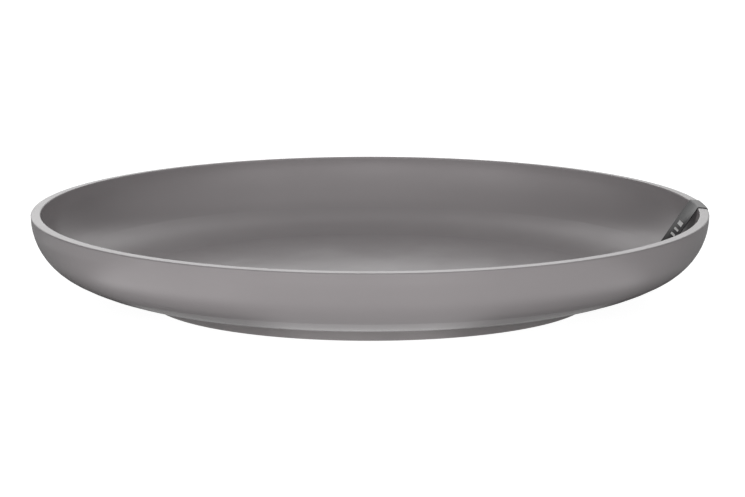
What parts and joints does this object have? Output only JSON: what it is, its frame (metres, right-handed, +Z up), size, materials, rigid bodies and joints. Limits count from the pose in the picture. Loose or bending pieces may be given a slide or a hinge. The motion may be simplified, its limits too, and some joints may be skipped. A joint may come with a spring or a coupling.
{
  "type": "shallow round dish",
  "caption": "Shallow round ward dish with curved sides, a flat lip, a soft foot ring underneath and a folded label on the rim; holds small items or swabs.",
  "frame": {"origin": "centre of the dish on the surface it stands on", "axes": "+Z up along the dish's axis; +X towards the side whose rim carries the label, which sits 7.5 degrees round from +X towards +Y"},
  "size_m": [0.25, 0.25, 0.0332],
  "materials": {
    "shell": "satin moulded",
    "foot": "matte",
    "label_film": "glossy film",
    "label_ink": "printed ink"
  },
  "bodies": {
    "root": {"dish_shell": "shell", "foot_ring": "foot", "rim_label": "label_film", "label_print": "label_ink"}
  },
  "joints": []
}
